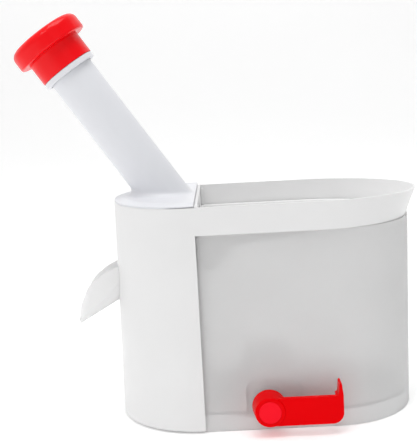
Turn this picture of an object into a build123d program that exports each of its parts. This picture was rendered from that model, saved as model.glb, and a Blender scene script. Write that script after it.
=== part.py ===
from build123d import *
import os
from math import radians, sin, cos, sqrt

os.makedirs("parts", exist_ok=True)

# ---------------------------------------------------------------- dimensions
# Frame: Z up from the table, X along the long side (hopper lip at +X), Y to the back.
Z_RIM = 143.8            # top rim of the housing
Z_SEAM = 126.4           # lower edge of the band, over the container's top edge
Z_MID = 135.5            # where the flare steepens
Z_SHELL0 = 1.5           # lower edge of the housing skirt
X_SKIRT = -40.4          # vertical front and back edges of the housing skirt
WALL = 1.5               # housing wall

# outlines: left end, left ellipse radius, right end, right ellipse radius, half depth
RIM = (-94.0, 47.5, 104.0, 70.4, 58.0)
MID = (-94.2, 48.0, 100.5, 67.3, 57.8)
SEAM = (-94.4, 48.4, 97.0, 64.0, 57.6)
FOOT = (-96.6, 54.4, 96.6, 53.6, 56.2)
CAN_TOP = (-92.0, 47.0, 98.3, 56.0, 54.2)
CAN_BASE = (-94.2, 52.2, 96.8, 53.5, 53.6)
CAN_WALL = 1.8
Z_CAN = 126.1            # top edge of the stone container
Z_FLOOR = 12.3           # upper side of the container floor
FLOOR_T = 2.0
TUNNEL_X0, TUNNEL_X1 = -14.1, 22.0   # sides of the tunnel over the suction foot

TILT = 34.15             # lean of the guide tube from vertical, toward -X
X_TUBE = -59.3           # tube axis where it crosses the rim plane
TUBE_R0, TUBE_R1 = 15.5, 15.1
BORE_R = 12.6
S_TUBE0, S_TUBE1 = -10.0, 108.4
LIP_R, LIP_H = 16.5, 2.0

RING_R, S_RING0, S_RING1 = 18.6, 102.1, 105.5
SKIRT_R, SKIRT_IN = 18.8, 17.6
S_SKIRT0, S_HEAD0, S_HEAD1 = 105.8, 120.8, 134.5
HEAD_R = 24.8
DOME_R, EDGE_R = 182.0, 5.0      # crown of the knob and its rounded edge
S_HOLLOW = 132.0         # ceiling inside the knob; the tube's lip rises to 0.4 below it
NEEDLE_R = 2.4
S_SEAT = -42.0           # upper face of the cherry seat, along the tube axis
S_TIP = -23.0            # needle tip at rest

LID_Z0, LID_Z1 = 143.9, 146.4
LID_EDGE = 145.0         # the lid slopes down to this height at its rim
X_LID = -40.35
GATE_X0, GATE_X1 = -40.2, -38.4

TRAY_SLOPE = 0.13        # hopper floor falls toward the seat
TRAY_Z = 121.6           # top of the hopper floor at x = 0
LEDGE_Z = 126.2

CHUTE_X = -93.5          # where the chute leaves the housing wall
CHUTE_Z = 77.8           # underside of the chute there
CHUTE_SLOPE_IN, CHUTE_SLOPE_OUT = 0.39, 0.563
CHUTE_HALF, TIP_HALF = 16.5, 12.0
CHUTE_TIP = -121.6
CHUTE_T = 1.7
KEEL_R = 14.0            # rounding of the chute's lower corners

Z_SHAFT = 16.2           # suction lever axis
SHAFT_R = 5.0
BOSS_R = 9.2
ARM_TOP = 8.4            # height of the lever arm above its axis
ARM_CORNER = 7.0
X_GRIP, Z_GRIP, GRIP_Y = 45.3, 32.8, -58.0
LIFT = 2.5               # stem travel over a quarter turn of the lever
CUP_R = 34.0
SCREWS = [(-30, -14), (-30, 14), (30, -14), (30, 14)]

tube_frame = Plane(origin=(X_TUBE, 0, Z_RIM),
                   x_dir=(cos(radians(TILT)), 0, sin(radians(TILT))),
                   z_dir=(-sin(radians(TILT)), 0, cos(radians(TILT))))
TUBE = Location(tube_frame)


# ---------------------------------------------------------------- helpers
def outline(spec, z, inset=0.0):
    xl, rl, xr, rr, b = spec
    xl, xr, rl, rr, b = xl + inset, xr - inset, rl - inset, rr - inset, b - inset
    cl, cr = xl + rl, xr - rr
    edges = [EllipticalCenterArc((cr, 0), rr, b, -90, arc_size=180),
             Line((cr, b), (cl, b)),
             EllipticalCenterArc((cl, 0), rl, b, 90, arc_size=180),
             Line((cl, -b), (cr, -b))]
    return Pos(0, 0, z) * make_face(Curve() + edges)


def prism(spec, z0, z1, inset=0.0):
    return extrude(outline(spec, z0, inset), z1 - z0, dir=(0, 0, 1))


def blend(a, b, t):
    return tuple(p + (q - p) * t for p, q in zip(a, b))


def box(x0, x1, y0, y1, z0, z1):
    return Pos((x0 + x1) / 2, (y0 + y1) / 2, (z0 + z1) / 2) * Box(x1 - x0, y1 - y0, z1 - z0)


def rod(r, z0, z1, r2=None):
    if r2 is None:
        return Pos(0, 0, (z0 + z1) / 2) * Cylinder(r, z1 - z0)
    return Pos(0, 0, (z0 + z1) / 2) * Cone(r, r2, z1 - z0)


def rod_y(r, y0, y1, x=0.0, z=Z_SHAFT):
    return Pos(x, (y0 + y1) / 2, z) * Rot(90, 0, 0) * Cylinder(r, y1 - y0)


def turned(points):
    return revolve(make_face(Plane.XZ * Polyline(*points, close=True)), Axis.Z)


def plate_xz(points, y0, y1):
    face = make_face(Plane.XZ * Polyline(*points, close=True))
    return Pos(0, y1, 0) * extrude(face, y1 - y0, dir=(0, -1, 0))


# ---------------------------------------------------------------- stone container and foot
def stone_container():
    outer = loft([outline(CAN_BASE, 0), outline(CAN_TOP, Z_CAN)], ruled=True)
    t = Z_FLOOR / Z_CAN
    inner = loft([outline(blend(CAN_BASE, CAN_TOP, t), Z_FLOOR, CAN_WALL),
                  outline(CAN_TOP, Z_CAN + 0.01, CAN_WALL)], ruled=True)
    under = loft([outline(CAN_BASE, -0.01, CAN_WALL),
                  outline(blend(CAN_BASE, CAN_TOP, t), Z_FLOOR - FLOOR_T, CAN_WALL)], ruled=True)
    body = outer - inner - under
    tunnel = box(TUNNEL_X0, TUNNEL_X1, -52.8, 38, Z_FLOOR - FLOOR_T, 32)
    tunnel = fillet(tunnel.edges().filter_by(Axis.Y).group_by(Axis.Z)[-1], 8)
    hollow = box(TUNNEL_X0 + 1.9, TUNNEL_X1 - 1.9, -52, 36, Z_FLOOR - FLOOR_T - 1, 30)
    hollow = fillet(hollow.edges().filter_by(Axis.Y).group_by(Axis.Z)[-1], 6)
    body = body + tunnel - hollow
    body -= box(-110, -80, -21.5, 21.5, 60, 140)
    body -= rod_y(7.0, -70, -45)
    for x, y in SCREWS:
        body += Pos(x, y, 0) * rod(3.4, Z_FLOOR - 0.2, 15.0)
        body -= Pos(x, y, 0) * rod(1.42, 9.0, 13.4)
    for side in (-1, 1):
        y0, y1 = sorted((side * 53.4, side * 54.9))
        body += box(X_SKIRT + 0.6, X_SKIRT + 2.0, y0, y1, 111.0, Z_CAN - 1.0)
        x0, x1 = (TUNNEL_X0 + 1, -40.0) if side < 0 else (TUNNEL_X1 - 1, 50.0)
        body += plate_xz([(x0, 29.8), (x1, Z_FLOOR - 0.5), (x0, Z_FLOOR - 0.5)], -49.4, -48.0)
    return body


def shaft_bush():
    sleeve = rod_y(7.0, -54.6, -49.5) + rod_y(8.6, -55.6, -53.9)
    return sleeve - rod_y(SHAFT_R + 0.06, -60, -45)


def foot_frame():
    disc = rod(37.5, 8.9, 10.2) - rod(12.2, 0, 20)
    ears = Part()
    for y in (-17.5, 14.5):
        ear = box(-9, 9, y, y + 3, 10.0, Z_SHAFT) + rod_y(9, y, y + 3)
        ears += ear - rod_y(SHAFT_R + 0.06, y - 1, y + 4)
    frame = disc + ears
    for x, y in SCREWS:
        frame -= Pos(x, y, 9.5) * Cylinder(1.42, 6)
    return frame


def frame_screw(x, y):
    shank = rod(1.4, 8.6, 12.9)
    head = rod(2.0, 7.4, 8.85, 2.8)
    slot = Pos(0, 0, 7.4) * (Box(3.2, 0.6, 1.0) + Box(0.6, 3.2, 1.0))
    return Pos(x, y, 0) * (shank + head - slot)


def suction_cup():
    profile = [(0, 2.4), (12, 2.2), (24, 1.3), (CUP_R, 0.0), (CUP_R + 0.4, 0.7), (26, 3.6),
               (14, 5.9), (10.4, 6.6), (9.9, 8.0), (8.05, 8.0), (8.05, 4.4), (0, 4.4)]
    return turned(profile) - rod(3.6, 2.9, 4.35) - rod(1.95, 4.3, 4.5)


def cup_stem():
    neck = rod(8.0, 4.5, 8.4)
    yoke = box(-10, 10, -6, 6, 8.2, 24.2)
    yoke = fillet(yoke.edges().filter_by(Axis.Z), 1.5)
    yoke &= rod(11.6, 8, 25)
    window = box(-7.7, 7.7, -8, 8, 9.9, Z_SHAFT + 5.2)
    return neck + yoke - window - rod(2.0, 4, 8)


def stem_stud():
    return rod(1.95, 4.6, 7.9) + rod(3.6, 2.9, 4.35) + rod(1.95, 4.3, 4.7)


# ---------------------------------------------------------------- lever and cam
def cam_profile():
    pts = []
    steps = 48
    for i in range(steps):
        a = -180 + 360 * i / steps
        if -90 <= a < 0:
            r = 3.6 + 3.5 * (1 + a / 90)
        elif 0 <= a <= 90:
            r = 7.1 - LIFT * a / 90
        elif 90 < a <= 180:
            r = 4.6 - 1.0 * (a - 90) / 90
        else:
            r = 3.6
        pts.append((r * cos(radians(a)), Z_SHAFT + r * sin(radians(a))))
    return pts


def cam_shaft():
    shaft = rod_y(SHAFT_R, -62.0, -6.4) + rod_y(SHAFT_R, 6.4, 19.4)
    cam = plate_xz(cam_profile(), -5.6, 5.6)
    core = rod_y(3.4, -7, 7)
    groove = rod_y(6, 18.0, 18.8) - rod_y(4.1, 17.9, 18.9)
    flat = box(3.9, 8, -63, -57.2, 5, 28)
    return shaft + cam + core - groove - flat - rod_y(1.5, -63, -50)


def shaft_clip():
    ring = rod_y(5.8, 18.05, 18.75) - rod_y(4.12, 17, 20)
    return ring - box(-2.9, 2.9, 17, 20, 5, Z_SHAFT)


def suction_lever():
    boss = Pos(0, -62.6, Z_SHAFT) * Rot(90, 0, 0) * Cone(BOSS_R + 1.5, BOSS_R + 0.1, 12.8)
    front = boss.faces().sort_by(Axis.Y)[0]
    boss = fillet(front.edges(), 1.0)
    z0, z1 = Z_SHAFT - BOSS_R, Z_SHAFT + ARM_TOP
    arm = box(0, X_GRIP, -67.6, -64.6, z0, z1)
    corner = arm.edges().filter_by(Axis.Y).sort_by(lambda e: e.center().Z - e.center().X)[0]
    arm = fillet(corner, ARM_CORNER)
    top = Z_GRIP
    side = [Line((X_GRIP, z0 + ARM_CORNER), (X_GRIP, 24.8)), Line((X_GRIP, 24.8), (X_GRIP - 0.9, top - 0.6)),
            ThreePointArc((X_GRIP - 0.9, top - 0.6), (X_GRIP - 1.6, top), (X_GRIP - 2.4, top - 0.5)),
            Line((X_GRIP - 2.4, top - 0.5), (X_GRIP - 2.9, z1 + 1.6)),
            ThreePointArc((X_GRIP - 2.9, z1 + 1.6), (X_GRIP - 3.3, z1 + 0.4), (X_GRIP - 4.4, z1 - 0.1)),
            Line((X_GRIP - 4.4, z1 - 0.1), (X_GRIP - 3.4, z0 + ARM_CORNER)),
            Line((X_GRIP - 3.4, z0 + ARM_CORNER), (X_GRIP, z0 + ARM_CORNER))]
    grip = make_face(Curve() + [Plane.XZ * c for c in side])
    grip = Pos(0, GRIP_Y, 0) * extrude(grip, GRIP_Y + 67.6, dir=(0, -1, 0))
    lever = boss + arm + grip
    lever -= rod_y(SHAFT_R + 0.02, -62.4, -50) - box(3.92, 9, -63, -57.4, 5, 28)
    lever -= rod_y(7.05, -70, -67.9) + rod_y(3.6, -70, -66.4)
    lever -= rod_y(1.7, -70, -60)
    return lever


def lever_cap():
    cap = rod_y(7.0, -69.2, -67.9)
    cap = fillet(cap.faces().sort_by(Axis.Y)[0].edges(), 0.5)
    return cap + rod_y(3.0, -67.95, -67.6)


def lever_screw():
    head = rod_y(3.4, -67.4, -66.5) - rod_y(1.0, -68, -67.0)
    return head + rod_y(1.48, -66.6, -53.0)


# ---------------------------------------------------------------- housing
def band_solid(inset):
    flare = loft([outline(MID, Z_MID, inset), outline(RIM, Z_RIM, inset)], ruled=True)
    return loft([outline(SEAM, Z_SEAM, inset), outline(MID, Z_MID, inset)], ruled=True) + flare


def skirt_solid(inset):
    return loft([outline(FOOT, Z_SHELL0, inset), outline(SEAM, Z_SEAM, inset)], ruled=True)


def housing_shell():
    shell = band_solid(0) - band_solid(WALL)
    skirt = skirt_solid(0) & box(-120, X_SKIRT, -70, 70, 0, 140)
    shell += skirt - skirt_solid(WALL)
    ledge = prism(SEAM, LEDGE_Z + 0.2, LEDGE_Z + 1.6, 0.9) - prism(SEAM, LEDGE_Z - 1, LEDGE_Z + 3, 5.2)
    shell += ledge & box(GATE_X1 + 0.4, 120, -70, 70, 120, 130)
    shell -= chute_body(0.35) & box(-120, -80, -30, 30, 40, 130)
    for y0 in (-56.4, 53.5):
        shell += box(GATE_X0 - 1.8, GATE_X0 - 0.2, y0, y0 + 2.9, 127.0, 141.5)
        shell += box(GATE_X1 + 0.2, GATE_X1 + 1.8, y0, y0 + 2.9, 129.8, 141.5)
    return shell


def hopper_gate():
    plate = box(GATE_X0, GATE_X1, -55.4, 55.4, 127.6, 143.8) + box(GATE_X0, GATE_X1, -51.3, 51.3, 110, 129)
    arch = box(-45, -30, -17.2, 17.2, 90, 122) + Pos(-38, 0, 121.8) * Rot(0, 90, 0) * Cylinder(17.2, 16)
    return plate - arch


def hopper_tray():
    flange = prism(SEAM, 128.0, 129.5, 2.2)
    pocket_out = prism(SEAM, 96, 128.6, 6.0)
    pocket_in = prism(SEAM, 96, 136, 7.5)

    def above(level):
        pts = [(-60, level - 60 * TRAY_SLOPE), (120, level + 120 * TRAY_SLOPE), (120, 170), (-60, 170)]
        return plate_xz(pts, -80, 80)

    tray = (flange + (pocket_out & above(TRAY_Z - 1.6))) - (pocket_in & above(TRAY_Z))
    tray &= box(GATE_X1 + 0.15, 130, -80, 80, 90, 150)
    end_wall = (box(GATE_X1 + 0.15, GATE_X1 + 1.7, -50.6, 50.6, 113.8, 129.5)
                & above(TRAY_Z - 1.6))
    tray += end_wall
    well = TUBE * rod(14.6, S_SEAT - 5.2, S_SEAT + 1.2)
    deck = TUBE * (Pos(9, 0, S_SEAT + 0.2) * Box(22, 33.0, 2.0))
    tray += (well + deck) - plate_xz([(-20, 170), (-20, TRAY_Z - 2.6), (10, TRAY_Z), (10, 170)], -80, 80)
    tray -= TUBE * (Pos(4, 0, S_SEAT + 21.2) * Box(36, 30.0, 40))
    tray -= TUBE * rod(12.6, S_SEAT - 3.2, S_SEAT + 30)
    tray -= TUBE * rod(9.6, S_SEAT - 12, S_SEAT)
    return tray


def seat_ring():
    s0, s1 = S_SEAT - 3.1, S_SEAT
    ring = TUBE * turned([(5.4, s0), (12.55, s0), (12.55, s0 + 1.4), (11.4, s1), (8.0, s1 - 0.3),
                          (5.4, s0 + 1.4)])
    for k in range(8):
        ring -= TUBE * Rot(0, 0, 45 * k) * Pos(6.4, 0, s0) * Box(2.6, 0.7, 8)
    return ring


def stone_funnel():
    s1 = S_SEAT - 5.3
    return TUBE * turned([(9.5, s1 + 1.9), (8.3, s1 + 1.9), (8.3, s1 - 1.3), (8.0, s1 - 9),
                          (9.2, s1 - 9), (9.7, s1 - 1.3), (14.4, s1 - 1.3), (14.4, s1), (9.5, s1)])


def chute_low(x):
    return CHUTE_Z + (x - CHUTE_X) * (CHUTE_SLOPE_IN if x > CHUTE_X else CHUTE_SLOPE_OUT)


def chute_side(x):
    """Half width of the chute at x."""
    if x > CHUTE_X:
        return CHUTE_HALF
    return CHUTE_HALF + (TIP_HALF - CHUTE_HALF) * (CHUTE_X - x) / (CHUTE_X - CHUTE_TIP)


def chute_plan(tip, inset):
    front, wall = chute_side(tip) - inset, CHUTE_HALF - inset
    sides = Polyline((tip, -front), (CHUTE_X, -wall), (-40.0, -wall), (-40.0, wall), (CHUTE_X, wall),
                     (tip, front), close=True)
    return extrude(Pos(0, 0, 40) * make_face(sides), 90, dir=(0, 0, 1))


def keel_rounded(block, radius):
    keel = [e for e in block.edges() if e.bounding_box().size.X > 20 and e.bounding_box().size.Y < 0.01
            and e.center().Z < chute_low(e.center().X) + 4.0]
    return fillet(keel, radius)


def chute_body(gap=0.0):
    x0, x1 = CHUTE_TIP - gap, -47.0
    drop = gap * 1.08
    brow = [(-62.0, 105.6), (-80.0, 105.6), (-86.0, 104.2), (-92.0, 101.9), (-96.4, 100.0), (-101.3, 98.0),
            (-104.6, 96.2), (-107.1, 94.3), (-109.8, 92.4), (-111.9, 90.5), (-113.8, 88.5), (-114.9, 86.8),
            (-116.2, 84.3), (-118.0, 80.3), (-119.8, 76.2), (-120.7, 72.1), (-121.2, 68.0), (x0, 65.6)]
    pts = [(x0, chute_low(x0) - drop), (CHUTE_X, CHUTE_Z - drop), (x1, chute_low(x1) - drop),
           (x1, chute_low(x1) + 7.5)]
    block = plate_xz(pts + [(x, z + gap) for x, z in brow], -CHUTE_HALF - gap, CHUTE_HALF + gap)
    return keel_rounded(block, KEEL_R + gap) & chute_plan(CHUTE_TIP - gap, -gap)


def chute():
    x0, x1 = CHUTE_TIP - 10, -40.0
    rise = CHUTE_T * 1.1
    hollow = plate_xz([(x0, chute_low(x0) + rise), (CHUTE_X, CHUTE_Z + rise), (x1, chute_low(x1) + rise),
                       (x1, 140), (x0, 140)], CHUTE_T - CHUTE_HALF, CHUTE_HALF - CHUTE_T)
    hollow = keel_rounded(hollow, KEEL_R - CHUTE_T)
    body = chute_body() - (hollow & chute_plan(x0, CHUTE_T))
    for side in (-1, 1):
        y0, y1 = sorted((side * (CHUTE_HALF - 0.2), side * (CHUTE_HALF + 1.4)))
        body += box(-89.2, -87.6, y0, y1, 84.0, 101.0)
    return body


# ---------------------------------------------------------------- guide tower
def guide_tower():
    plate = prism(RIM, LID_Z0, LID_EDGE, 0.15)
    plate += loft([outline(RIM, LID_EDGE, 0.15), outline(RIM, LID_Z1, 6.0)], ruled=True)
    tube = TUBE * rod(TUBE_R0, S_TUBE0, S_TUBE1, TUBE_R1)
    above = tube & box(-200, 0, -40, 40, LID_Z0 + 0.5, 300)
    tower = plate + above
    foot = [e for e in tower.edges()
            if abs(e.center().Z - LID_Z1) < 0.1 and 25 < e.bounding_box().size.Y < 34]
    tower = fillet(foot, 3.5)
    tower &= box(-200, X_LID, -70, 70, 140, 300)
    lip = prism(RIM, 140.2, LID_Z0 + 0.2, 2.3) - prism(RIM, 139, 150, 3.7)
    lip &= box(-110, -52, -70, 70, 130, 150)
    tower += lip
    tower += tube & box(-200, X_LID, -70, 70, 60, LID_Z0 + 1.0)
    tower += TUBE * rod(LIP_R, S_TUBE1 - LIP_H, S_TUBE1)
    tower -= plate_xz([(-72, 143.0), (X_LID + 1, 143.0), (X_LID + 1, LID_Z0 + 0.55), (-72, LID_Z0)],
                      -60, -55.9)
    tower -= TUBE * rod(BORE_R, S_TUBE0 + 2.0, S_TUBE1 + 5)
    tower -= TUBE * rod(5.2, S_TUBE0 - 5, S_TUBE0 + 5)
    return tower


def stripper():
    s = S_TUBE0
    return TUBE * turned([(NEEDLE_R + 0.07, s - 9.6), (6.4, s - 9.6), (7.6, s - 8.4), (8.6, s - 2.2),
                          (12.2, s - 2.2), (12.2, s - 0.05), (5.15, s - 0.05), (5.15, s + 1.9),
                          (NEEDLE_R + 0.07, s + 1.9)])


def spring_seat():
    s = S_TUBE0 + 2.0
    return TUBE * turned([(5.6, s), (12.5, s), (12.5, s + 3.0), (11.0, s + 3.0), (11.0, s + 1.2),
                          (5.6, s + 1.2)])


# ---------------------------------------------------------------- plunger
def plunger_knob():
    s0, s1, h = S_SKIRT0, S_HEAD0, S_HEAD1
    x = HEAD_R - EDGE_R
    z = h - DOME_R + sqrt((DOME_R - EDGE_R) ** 2 - x ** 2)
    k = DOME_R / (DOME_R - EDGE_R)
    shoulder = (x * k, h - DOME_R + (z - h + DOME_R) * k)
    skirt = [(SKIRT_IN, s0), (SKIRT_R - 0.3, s0), (SKIRT_R, s0 + 0.3), (SKIRT_R, s1), (HEAD_R - 1.2, s1),
             (HEAD_R - 0.3, s1 + 0.4), (HEAD_R, s1 + 1.3), (HEAD_R, z)]
    edge = TangentArc((HEAD_R, z), shoulder, tangent=(0, 1))
    dome = ThreePointArc(shoulder, (10.0, h - DOME_R + sqrt(DOME_R ** 2 - 100.0)), (0, h))
    inside = [(0.0, h), (0.0, 119.0), (4.95, 119.0), (4.95, 103.6), (8.0, 103.6), (8.0, S_HOLLOW),
              (16.6, S_HOLLOW), (SKIRT_IN, S_HOLLOW - 4), (SKIRT_IN, s0)]
    outline_xz = [Plane.XZ * c for c in (Polyline(*skirt), edge, dome, Polyline(*inside))]
    knob = revolve(make_face(Curve() + outline_xz), Axis.Z)
    knob -= Pos(0, 0, 110.0) * Rot(90, 0, 0) * Cylinder(1.25, 17)
    return TUBE * knob


def retaining_ring():
    r_in = TUBE_R0 + 0.35
    return TUBE * turned([(r_in, S_RING0), (RING_R - 0.4, S_RING0), (RING_R, S_RING0 + 0.4),
                          (RING_R, S_RING1), (SKIRT_IN - 0.05, S_RING1), (SKIRT_IN - 0.05, 110.0),
                          (LIP_R + 0.35, 110.0), (LIP_R + 0.35, S_RING1 + 0.5), (r_in, S_RING1 + 0.5)])


def plunger_rod():
    bar = turned([(0, 17.5), (4.2, 17.5), (5.0, 18.6), (5.0, 97.6), (BORE_R - 0.07, 97.6),
                  (BORE_R - 0.07, 101.6), (4.9, 101.6), (4.9, 118.6), (0, 118.6)])
    bar -= Pos(0, 0, 110.0) * Rot(90, 0, 0) * Cylinder(1.25, 17)
    bar -= rod(NEEDLE_R, 10, 40)
    return TUBE * bar


def pitting_needle():
    s = S_TIP
    needle = rod(NEEDLE_R, s + 1.6, 39.9) + rod(1.3, s, s + 1.7, NEEDLE_R)
    for k in range(4):
        needle -= Rot(0, 0, 45 + 90 * k) * Pos(2.5, 0, s + 6) * Cylinder(1.1, 16)
    return TUBE * needle


def knob_pin():
    return TUBE * (Pos(0, 0, 110.0) * Rot(90, 0, 0) * Cylinder(1.24, 15.6))


def return_spring():
    s0, s1 = S_TUBE0 + 3.25 + 0.7, 97.5 - 0.7
    turns, r, w = 15, 8.9, 0.65
    path = Helix(pitch=(s1 - s0) / turns, height=s1 - s0, radius=r)
    section = Plane(origin=path @ 0, z_dir=path % 0) * Circle(w)
    coil = sweep(section, path=path, is_frenet=True)
    return TUBE * Pos(0, 0, s0) * coil


# ---------------------------------------------------------------- export
PARTS = {
    "stone_container": stone_container,
    "shaft_bush": shaft_bush,
    "foot_frame": foot_frame,
    "suction_cup": suction_cup,
    "cup_stem": cup_stem,
    "stem_stud": stem_stud,
    "cam_shaft": cam_shaft,
    "shaft_clip": shaft_clip,
    "suction_lever": suction_lever,
    "lever_cap": lever_cap,
    "lever_screw": lever_screw,
    "housing_shell": housing_shell,
    "hopper_gate": hopper_gate,
    "hopper_tray": hopper_tray,
    "seat_ring": seat_ring,
    "stone_funnel": stone_funnel,
    "chute": chute,
    "guide_tower": guide_tower,
    "stripper": stripper,
    "spring_seat": spring_seat,
    "plunger_knob": plunger_knob,
    "retaining_ring": retaining_ring,
    "plunger_rod": plunger_rod,
    "pitting_needle": pitting_needle,
    "knob_pin": knob_pin,
    "return_spring": return_spring,
}

for name, make in PARTS.items():
    solid = make()
    solid.label = name
    export_step(solid, f"parts/{name}.step")

for i, (x, y) in enumerate(SCREWS, start=1):
    screw = frame_screw(x, y)
    export_step(screw, f"parts/frame_screw_{i}.step")
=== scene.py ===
from math import cos, pi, radians, sin

import bpy
from mathutils import Matrix, Vector


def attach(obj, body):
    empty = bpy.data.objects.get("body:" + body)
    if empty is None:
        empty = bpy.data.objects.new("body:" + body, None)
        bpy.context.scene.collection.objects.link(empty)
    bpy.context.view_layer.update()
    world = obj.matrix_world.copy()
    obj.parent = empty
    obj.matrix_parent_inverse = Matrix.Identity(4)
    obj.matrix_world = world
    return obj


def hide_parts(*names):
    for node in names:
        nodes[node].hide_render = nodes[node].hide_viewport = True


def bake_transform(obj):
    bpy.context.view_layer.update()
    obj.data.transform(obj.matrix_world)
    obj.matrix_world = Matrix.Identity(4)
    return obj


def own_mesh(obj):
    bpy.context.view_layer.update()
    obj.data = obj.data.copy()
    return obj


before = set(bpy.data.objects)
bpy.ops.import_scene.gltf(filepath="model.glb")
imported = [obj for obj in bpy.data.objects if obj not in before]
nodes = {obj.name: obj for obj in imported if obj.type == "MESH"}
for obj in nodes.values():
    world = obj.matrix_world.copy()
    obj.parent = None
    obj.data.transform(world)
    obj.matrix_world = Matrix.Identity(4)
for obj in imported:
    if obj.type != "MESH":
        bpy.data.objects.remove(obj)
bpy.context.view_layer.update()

scene = bpy.context.scene

# Camera, at the photograph's viewing angle.
CAMERA_AT = Vector((-0.02055, -0.62930, 0.22721))
CAMERA_RIGHT = Vector((0.9985, 0.0107, -0.0540)).normalized()
CAMERA_UP = Vector((0.0516, 0.1588, 0.9860)).normalized()
LENS_MM, SENSOR_MM = 78.143, 36.0
CLIP_NEAR, CLIP_FAR = 0.01, 60.0

# Noises, as scale, detail and roughness.
FLOW_MOTTLE = (38.0, 4.0, 0.55)
FROST_MOTTLE = (30.0, 3.0, 0.5)
RUBBER_MOTTLE = (90.0, 4.0, 0.6)
FLOOR_MOTTLE = (2.0, 2.0)
GLOSS_CHANGE = (60.0, 2.0, 0.5)
RUBBER_GLOSS_CHANGE = (400.0, 3.0)
SLOW_RIPPLE = (24.0, 1.0)
TOOL_GRAIN = (1500.0, 2.0)
RUBBER_GRAIN = (1400.0, 3.0)
BRUSH_LINES = (6.0, 6.0, 0.6)
BRUSH_STRETCH = (60.0, 60.0, 900.0)
WIRE_STRETCH = (300.0, 300.0, 300.0)

# Bump distances in metres.
RIPPLE_DEEP, GRAIN_DEEP, RUBBER_DEEP = 0.0003, 0.00003, 0.00006

# Floor: flat from FRONT to BEND, then a quarter turn of BEND_RADIUS and a wall up to TOP.
FRONT, BEND, BEND_RADIUS, TOP, HALF_WIDTH = -20.0, 1.6, 0.8, 4.0, 20.0
BEND_STEPS = 16
FLOOR_DROP = 0.0003
FLOOR_GLOW = 0.26

# Light: the world's strength towards -X and +X, then lamps as name, place, aim, size and power.
WORLD_LEFT, WORLD_RIGHT = 0.78, 0.30
LAMPS = (
    ("key", (-0.60, -1.05, 1.45), (0.0, 0.0, 0.12), 0.45, 2.6),
    ("fill", (0.7, -1.4, 0.9), (0.0, 0.0, 0.1), 0.8, 0.3),
    ("top", (0.05, -0.20, 1.7), (0.0, 0.0, 0.1), 1.1, 14.0),
)


def make_camera():
    data = bpy.data.cameras.new("camera")
    data.lens, data.sensor_width = LENS_MM, SENSOR_MM
    data.clip_start, data.clip_end = CLIP_NEAR, CLIP_FAR
    camera = bpy.data.objects.new("camera", data)
    scene.collection.objects.link(camera)
    back = CAMERA_RIGHT.cross(CAMERA_UP).normalized()
    up = back.cross(CAMERA_RIGHT)
    turn = Matrix((CAMERA_RIGHT, up, back)).transposed()
    camera.matrix_world = Matrix.Translation(CAMERA_AT) @ turn.to_4x4()
    scene.camera = camera


def set_range(node, from_min, from_max, to_min, to_max):
    """Fills in a Map Range node."""
    values = {"From Min": from_min, "From Max": from_max, "To Min": to_min, "To Max": to_max}
    for key, value in values.items():
        node.inputs[key].default_value = value


class Shader:
    """A material whose nodes are added one by one. Textures follow the piece's own coordinates."""

    def __init__(self, name):
        self.material = bpy.data.materials.new(name)
        self.material.use_nodes = True
        self.tree = self.material.node_tree
        self.bsdf = self.tree.nodes["Principled BSDF"]
        self.coords = self.add("ShaderNodeTexCoord").outputs["Object"]

    def add(self, kind):
        return self.tree.nodes.new(kind)

    def link(self, a, b):
        self.tree.links.new(a, b)

    def noise(self, scale, detail, rough=0.5, stretch=None):
        node = self.add("ShaderNodeTexNoise")
        node.inputs["Scale"].default_value = scale
        node.inputs["Detail"].default_value = detail
        node.inputs["Roughness"].default_value = rough
        source = self.coords
        if stretch:
            mapping = self.add("ShaderNodeMapping")
            mapping.inputs["Scale"].default_value = stretch
            self.link(self.coords, mapping.inputs["Vector"])
            source = mapping.outputs["Vector"]
        self.link(source, node.inputs["Vector"])
        return node.outputs["Fac"]

    def roughness(self, value, low, high, start=0.3, end=0.7):
        """Roughness from low to high as the value goes from start to end."""
        node = self.add("ShaderNodeMapRange")
        set_range(node, start, end, low, high)
        self.link(value, node.inputs["Value"])
        self.link(node.outputs["Result"], self.bsdf.inputs["Roughness"])

    def colours(self, value, low, high, start=0.3, end=0.7):
        """Base colour from low to high as the value goes from start to end."""
        node = self.add("ShaderNodeValToRGB")
        first, last = node.color_ramp.elements
        first.position, first.color = start, (*low, 1.0)
        last.position, last.color = end, (*high, 1.0)
        self.link(value, node.inputs["Fac"])
        self.link(node.outputs["Color"], self.bsdf.inputs["Base Color"])

    def bump(self, *layers):
        """Stacked bumps, each given as height, strength and distance."""
        normal = None
        for height, strength, distance in layers:
            node = self.add("ShaderNodeBump")
            node.inputs["Strength"].default_value = strength
            node.inputs["Distance"].default_value = distance
            self.link(height, node.inputs["Height"])
            if normal:
                self.link(normal, node.inputs["Normal"])
            normal = node.outputs["Normal"]
        self.link(normal, self.bsdf.inputs["Normal"])

    def set(self, **values):
        """Sets the main shader's inputs, with _ for each space in a name."""
        for key, value in values.items():
            self.bsdf.inputs[key.replace("_", " ")].default_value = value


def grey_of(level):
    return (level, level, level)


def tint(colour, amount):
    return tuple(min(1.0, c * amount) for c in colour)


def moulded(name, colour, rough=(0.30, 0.40), vary=0.02, grain=0.02, **extra):
    """Injection-moulded plastic: faint flow mottling, fine tool grain and a slow ripple."""
    s = Shader(name)
    s.colours(s.noise(*FLOW_MOTTLE), tint(colour, 1.0 - vary), colour)
    s.roughness(s.noise(*GLOSS_CHANGE), *rough)
    s.bump((s.noise(*SLOW_RIPPLE), 0.05, RIPPLE_DEEP), (s.noise(*TOOL_GRAIN), grain, GRAIN_DEEP))
    s.set(**extra)
    return s.material


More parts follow.
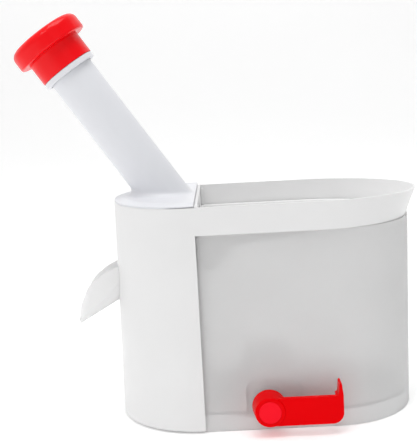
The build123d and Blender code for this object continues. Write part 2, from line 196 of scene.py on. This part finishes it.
def frosted(name):
    """Translucent polypropylene with a soft frosted surface."""
    s = Shader(name)
    s.colours(s.noise(*FROST_MOTTLE), grey_of(0.885), grey_of(0.91))
    s.roughness(s.noise(*GLOSS_CHANGE), 0.38, 0.44)
    s.bump((s.noise(*SLOW_RIPPLE), 0.04, RIPPLE_DEEP))
    s.set(IOR=1.12, Transmission_Weight=0.54, Specular_IOR_Level=0.2)
    return s.material


def steel(name, colour, stretch=BRUSH_STRETCH):
    """Steel with fine lines of brushing or drawing."""
    s = Shader(name)
    lines = s.noise(*BRUSH_LINES, stretch=stretch)
    s.colours(lines, tint(colour, 0.86), colour)
    s.roughness(lines, 0.20, 0.34)
    s.bump((lines, 0.10, GRAIN_DEEP))
    s.set(Metallic=1.0)
    return s.material


def rubber(name, colour, rough=(0.55, 0.75)):
    """Matt rubber with a fine grain."""
    s = Shader(name)
    s.colours(s.noise(*RUBBER_MOTTLE), tint(colour, 0.8), colour)
    s.roughness(s.noise(*RUBBER_GLOSS_CHANGE), *rough)
    s.bump((s.noise(*RUBBER_GRAIN), 0.25, RUBBER_DEEP))
    s.set(IOR=1.5)
    return s.material


def dress(material, *names):
    for name in names:
        mesh = nodes[name].data
        mesh.materials.clear()
        mesh.materials.append(material)


def dress_plastics():
    skin = dict(Subsurface_Weight=0.05, Subsurface_Radius=grey_of(0.003), Specular_IOR_Level=0.4)
    white = moulded("white_plastic", grey_of(0.80), **skin)
    tower = moulded("tower_plastic", (0.755, 0.764, 0.797), rough=(0.31, 0.34), **skin)
    # The tray plastic is a lighter copy of the white plastic. This is painted light: the higher
    # albedo stands in for the light reflected between the tray and the container wall, which
    # brightens the strip under the seam.
    tray_painted_light = moulded("tray_plastic", grey_of(0.87), rough=(0.45, 0.5), **skin)
    thin = moulded("thin_plastic", grey_of(0.95), rough=(0.5, 0.6),
                   Transmission_Weight=0.45, Specular_IOR_Level=0.3, IOR=1.1)
    grey = moulded("grey_plastic", (0.74, 0.74, 0.75), rough=(0.38, 0.5), grain=0.06)
    red = moulded("red_plastic", (0.83, 0.0, 0.002), rough=(0.20, 0.28), vary=0.05, grain=0.01,
                  Specular_IOR_Level=0.03)
    red_knob = moulded("red_knob_plastic", (0.90, 0.0, 0.004), rough=(0.30, 0.38), vary=0.05,
                       grain=0.01, Specular_IOR_Level=0.08, Coat_Weight=0.35, Coat_Roughness=0.10)
    red_cap = moulded("red_cap_plastic", (1.0, 0.004, 0.018), rough=(0.2, 0.3), vary=0.04,
                      grain=0.01, Specular_IOR_Level=0.08)
    dress(frosted("frosted_plastic"), "stone_container")
    dress(white, "shaft_bush", "housing_shell", "hopper_gate", "stone_funnel")
    dress(tray_painted_light, "hopper_tray")
    dress(thin, "chute")
    dress(tower, "guide_tower", "stripper", "retaining_ring")
    dress(grey, "foot_frame", "cup_stem", "cam_shaft", "spring_seat", "plunger_rod")
    dress(red, "suction_lever")
    dress(red_knob, "plunger_knob")
    dress(red_cap, "lever_cap")


def dress_metal_and_rubber():
    screws = [name for name in nodes if name.startswith("frame_screw")]
    fasteners = ("stem_stud", "shaft_clip", "lever_screw", "pitting_needle", "knob_pin")
    dress(steel("steel", (0.60, 0.60, 0.61)), *fasteners, *screws)
    dress(steel("spring_steel", (0.50, 0.50, 0.52), stretch=WIRE_STRETCH), "return_spring")
    dress(rubber("foot_rubber", (0.55, 0.55, 0.56)), "suction_cup")
    dress(rubber("silicone", (0.72, 0.72, 0.70), rough=(0.4, 0.55)), "seat_ring")


def copy_of(node, name):
    """A dressed copy that stands for a CAD node, which is hidden."""
    piece = bpy.data.objects.new(name, nodes[node].data.copy())
    piece.matrix_world = nodes[node].matrix_world.copy()
    scene.collection.objects.link(piece)
    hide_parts(node)
    return piece


def make_spring():
    """A copy of the spring that goes with the tower's body, with a mesh of its own."""
    spring = copy_of("return_spring", "spring_coil")
    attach(spring, "tower")
    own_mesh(spring)


def make_cup():
    """A copy of the suction cup, with its placement baked into the mesh."""
    cup = copy_of("suction_cup", "cup_rubber")
    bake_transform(cup)


def make_floor():
    """A pale floor that sweeps up into a backdrop behind the object."""
    profile = [(FRONT, 0.0)]
    for i in range(BEND_STEPS + 1):
        a = 0.5 * pi * i / BEND_STEPS
        profile.append((BEND + BEND_RADIUS * sin(a), BEND_RADIUS * (1.0 - cos(a))))
    profile.append((BEND + BEND_RADIUS, TOP))
    verts = [(x, y, z) for y, z in profile for x in (-HALF_WIDTH, HALF_WIDTH)]
    faces = [(2 * i, 2 * i + 1, 2 * i + 3, 2 * i + 2) for i in range(len(profile) - 1)]
    mesh = bpy.data.meshes.new("floor")
    mesh.from_pydata(verts, [], faces)
    for face in mesh.polygons:
        face.use_smooth = True
    floor = bpy.data.objects.new("floor", mesh)
    scene.collection.objects.link(floor)
    floor.location.z = -FLOOR_DROP
    s = Shader("floor_white")
    s.colours(s.noise(*FLOOR_MOTTLE), grey_of(0.90), grey_of(0.92))
    s.set(Roughness=0.9, Specular_IOR_Level=0.1, Emission_Color=(1.0, 1.0, 1.0, 1.0),
          Emission_Strength=FLOOR_GLOW)
    mesh.materials.append(s.material)


def make_world():
    """A white surround, stronger on the left than on the right."""
    world = bpy.data.worlds.new("studio")
    world.use_nodes = True
    tree = world.node_tree
    back = tree.nodes["Background"]
    back.inputs["Color"].default_value = (1.0, 1.0, 1.0, 1.0)
    coords = tree.nodes.new("ShaderNodeTexCoord")
    split = tree.nodes.new("ShaderNodeSeparateXYZ")
    across = tree.nodes.new("ShaderNodeMapRange")
    set_range(across, -1.0, 1.0, WORLD_LEFT, WORLD_RIGHT)
    tree.links.new(coords.outputs["Generated"], split.inputs["Vector"])
    tree.links.new(split.outputs["X"], across.inputs["Value"])
    tree.links.new(across.outputs["Result"], back.inputs["Strength"])
    scene.world = world


def make_lamps():
    for name, at, aim, size, power in LAMPS:
        data = bpy.data.lights.new(name, "AREA")
        data.shape, data.size, data.energy = "SQUARE", size, power
        lamp = bpy.data.objects.new(name, data)
        lamp.location = at
        lamp.rotation_euler = (Vector(aim) - Vector(at)).to_track_quat("-Z", "Y").to_euler()
        scene.collection.objects.link(lamp)


make_camera()
dress_plastics()
dress_metal_and_rubber()
bpy.context.view_layer.update()
make_spring()
make_cup()
make_floor()
make_world()
make_lamps()
scene.view_settings.view_transform = "Standard"
